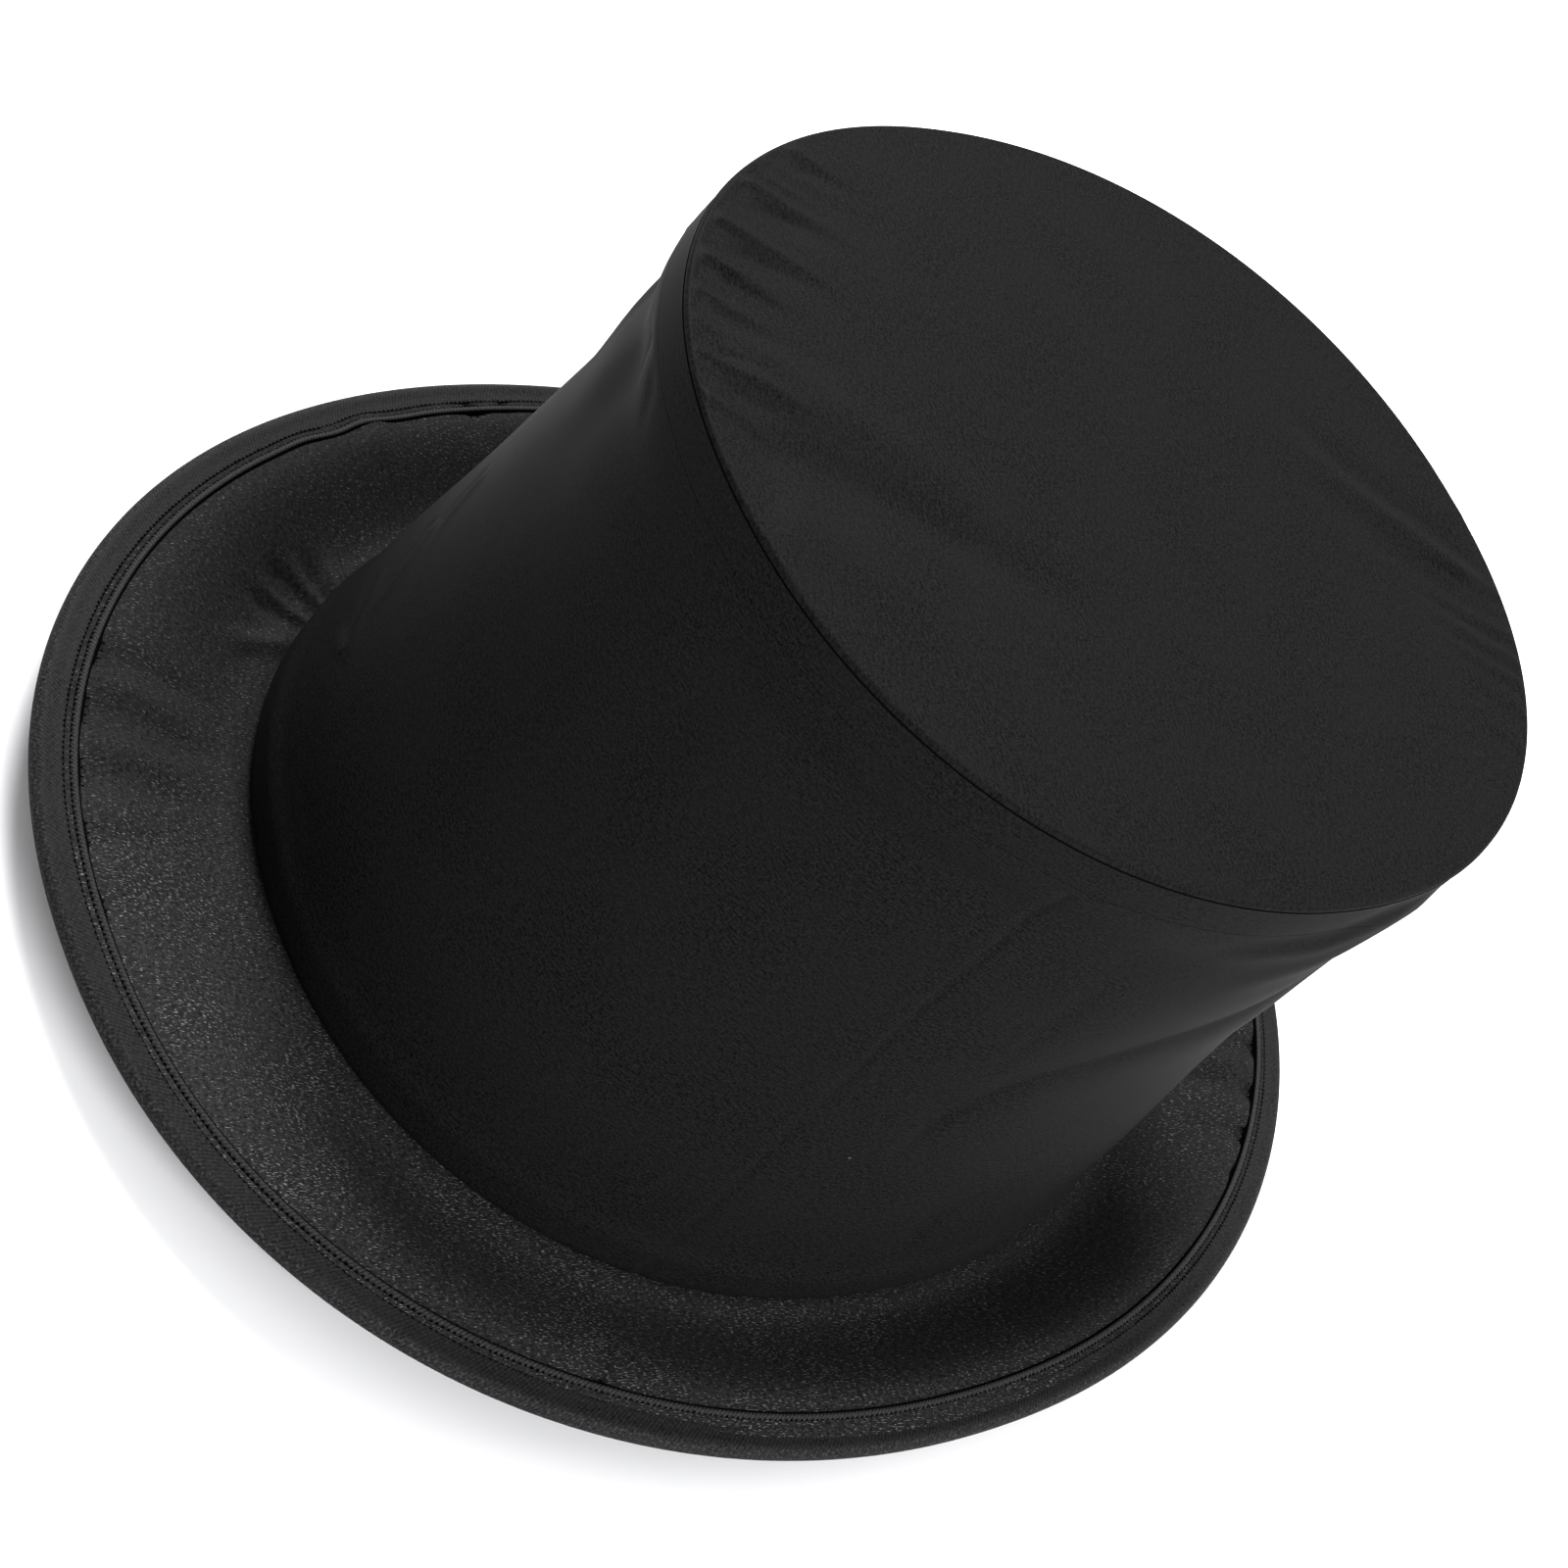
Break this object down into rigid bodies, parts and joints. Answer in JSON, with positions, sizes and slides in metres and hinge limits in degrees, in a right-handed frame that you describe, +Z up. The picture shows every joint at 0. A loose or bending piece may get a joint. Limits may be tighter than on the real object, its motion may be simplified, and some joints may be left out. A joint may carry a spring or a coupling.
{
  "type": "top hat",
  "caption": "Folding oval top hat: a satin crown on a sprung steel strut frame that drops flat onto a stiff, wire-edged brim with a bound rim.",
  "frame": {"origin": "middle of the head opening, in the plane the brim rests on", "axes": "+Z up out of the crown, +Y to the wearer's front along the long axis of the oval, +X to the wearer's right"},
  "size_m": [0.2428, 0.2998, 0.1379],
  "materials": {
    "satin": "smooth black satin with a soft sheen",
    "slub_cloth": "plain-woven black cloth with shiny slubs",
    "ribbed_tape": "fine ribbed black tape",
    "lining": "thin plain black lining",
    "buckram": "stiffened open-weave board",
    "sweatband": "soft black leather",
    "spring_steel": "plain spring steel strip and wire",
    "blued_steel": "dark blued steel"
  },
  "bodies": {
    "base": {"brim_under_cover": "slub_cloth", "brim_board": "buckram", "brim_top_cover": "slub_cloth", "brim_wire": "spring_steel", "brim_binding": "ribbed_tape", "sweatband": "sweatband", "lower_hoop": "spring_steel", "crown_wall": "satin", "crown_lining": "lining", "foot_bracket_right": "blued_steel", "foot_rivet_right": "blued_steel", "foot_pin_right": "blued_steel", "foot_bracket_front": "blued_steel", "foot_rivet_front": "blued_steel", "foot_pin_front": "blued_steel", "foot_bracket_left": "blued_steel", "foot_rivet_left": "blued_steel", "foot_pin_left": "blued_steel", "foot_bracket_rear": "blued_steel", "foot_rivet_rear": "blued_steel", "foot_pin_rear": "blued_steel"},
    "front_lower": {"lower_arm_front": "spring_steel", "knee_pin_front": "blued_steel", "knee_spring_front": "spring_steel"},
    "front_upper": {"upper_arm_front": "spring_steel"},
    "right_lower": {"lower_arm_right": "spring_steel", "knee_pin_right": "blued_steel", "knee_spring_right": "spring_steel"},
    "right_upper": {"upper_arm_right": "spring_steel"},
    "left_lower": {"lower_arm_left": "spring_steel", "knee_pin_left": "blued_steel", "knee_spring_left": "spring_steel"},
    "left_upper": {"upper_arm_left": "spring_steel"},
    "rear_lower": {"lower_arm_rear": "spring_steel", "knee_pin_rear": "blued_steel", "knee_spring_rear": "spring_steel"},
    "rear_upper": {"upper_arm_rear": "spring_steel"},
    "crown_top": {"top_hoop": "spring_steel", "tip_cover": "satin", "tip_lining": "lining", "top_bracket_right": "blued_steel", "top_rivet_right": "blued_steel", "top_pin_right": "blued_steel", "top_bracket_front": "blued_steel", "top_rivet_front": "blued_steel", "top_pin_front": "blued_steel", "top_bracket_left": "blued_steel", "top_rivet_left": "blued_steel", "top_pin_left": "blued_steel", "top_bracket_rear": "blued_steel", "top_rivet_rear": "blued_steel", "top_pin_rear": "blued_steel"}
  },
  "joints": [
    {"name": "crown_fold", "type": "hinge", "parent": "base", "child": "front_lower", "pos_m": [0, 0.08722, 0.016], "axis": [1, 0, 0], "range_deg": [0, 85], "deforming": ["crown_wall", "crown_lining"]},
    {"name": "front_knee", "type": "hinge", "parent": "front_lower", "child": "front_upper", "pos_m": [0, 0.08722, 0.07015], "axis": [1, 0, 0], "range_deg": [-170, 0], "stiffness_Nm_per_rad": 0.02, "deforming": ["knee_spring_front"]},
    {"name": "front_top_hinge", "type": "hinge", "parent": "front_upper", "child": "crown_top", "pos_m": [0, 0.08722, 0.1243], "axis": [1, 0, 0], "range_deg": [0, 85]},
    {"name": "right_foot_hinge", "type": "hinge", "parent": "base", "child": "right_lower", "pos_m": [0.07515, 0, 0.016], "axis": [0, -1, 0], "range_deg": [0, 85]},
    {"name": "right_knee", "type": "hinge", "parent": "right_lower", "child": "right_upper", "pos_m": [0.07515, 0, 0.07015], "axis": [0, -1, 0], "range_deg": [-170, 0], "stiffness_Nm_per_rad": 0.02, "deforming": ["knee_spring_right"]},
    {"name": "left_foot_hinge", "type": "hinge", "parent": "base", "child": "left_lower", "pos_m": [-0.07515, 0, 0.016], "axis": [0, 1, 0], "range_deg": [0, 85]},
    {"name": "left_knee", "type": "hinge", "parent": "left_lower", "child": "left_upper", "pos_m": [-0.07515, 0, 0.07015], "axis": [0, 1, 0], "range_deg": [-170, 0], "stiffness_Nm_per_rad": 0.02, "deforming": ["knee_spring_left"]},
    {"name": "rear_foot_hinge", "type": "hinge", "parent": "base", "child": "rear_lower", "pos_m": [0, -0.08722, 0.016], "axis": [-1, 0, 0], "range_deg": [0, 85]},
    {"name": "rear_knee", "type": "hinge", "parent": "rear_lower", "child": "rear_upper", "pos_m": [0, -0.08722, 0.07015], "axis": [-1, 0, 0], "range_deg": [-170, 0], "stiffness_Nm_per_rad": 0.02, "deforming": ["knee_spring_rear"]}
  ],
  "couplings": [
    {"joint": "front_knee", "follows": "crown_fold", "ratio": -2},
    {"joint": "front_top_hinge", "follows": "crown_fold", "ratio": 1},
    {"joint": "right_foot_hinge", "follows": "crown_fold", "ratio": 1},
    {"joint": "right_knee", "follows": "crown_fold", "ratio": -2},
    {"joint": "left_foot_hinge", "follows": "crown_fold", "ratio": 1},
    {"joint": "left_knee", "follows": "crown_fold", "ratio": -2},
    {"joint": "rear_foot_hinge", "follows": "crown_fold", "ratio": 1},
    {"joint": "rear_knee", "follows": "crown_fold", "ratio": -2}
  ]
}
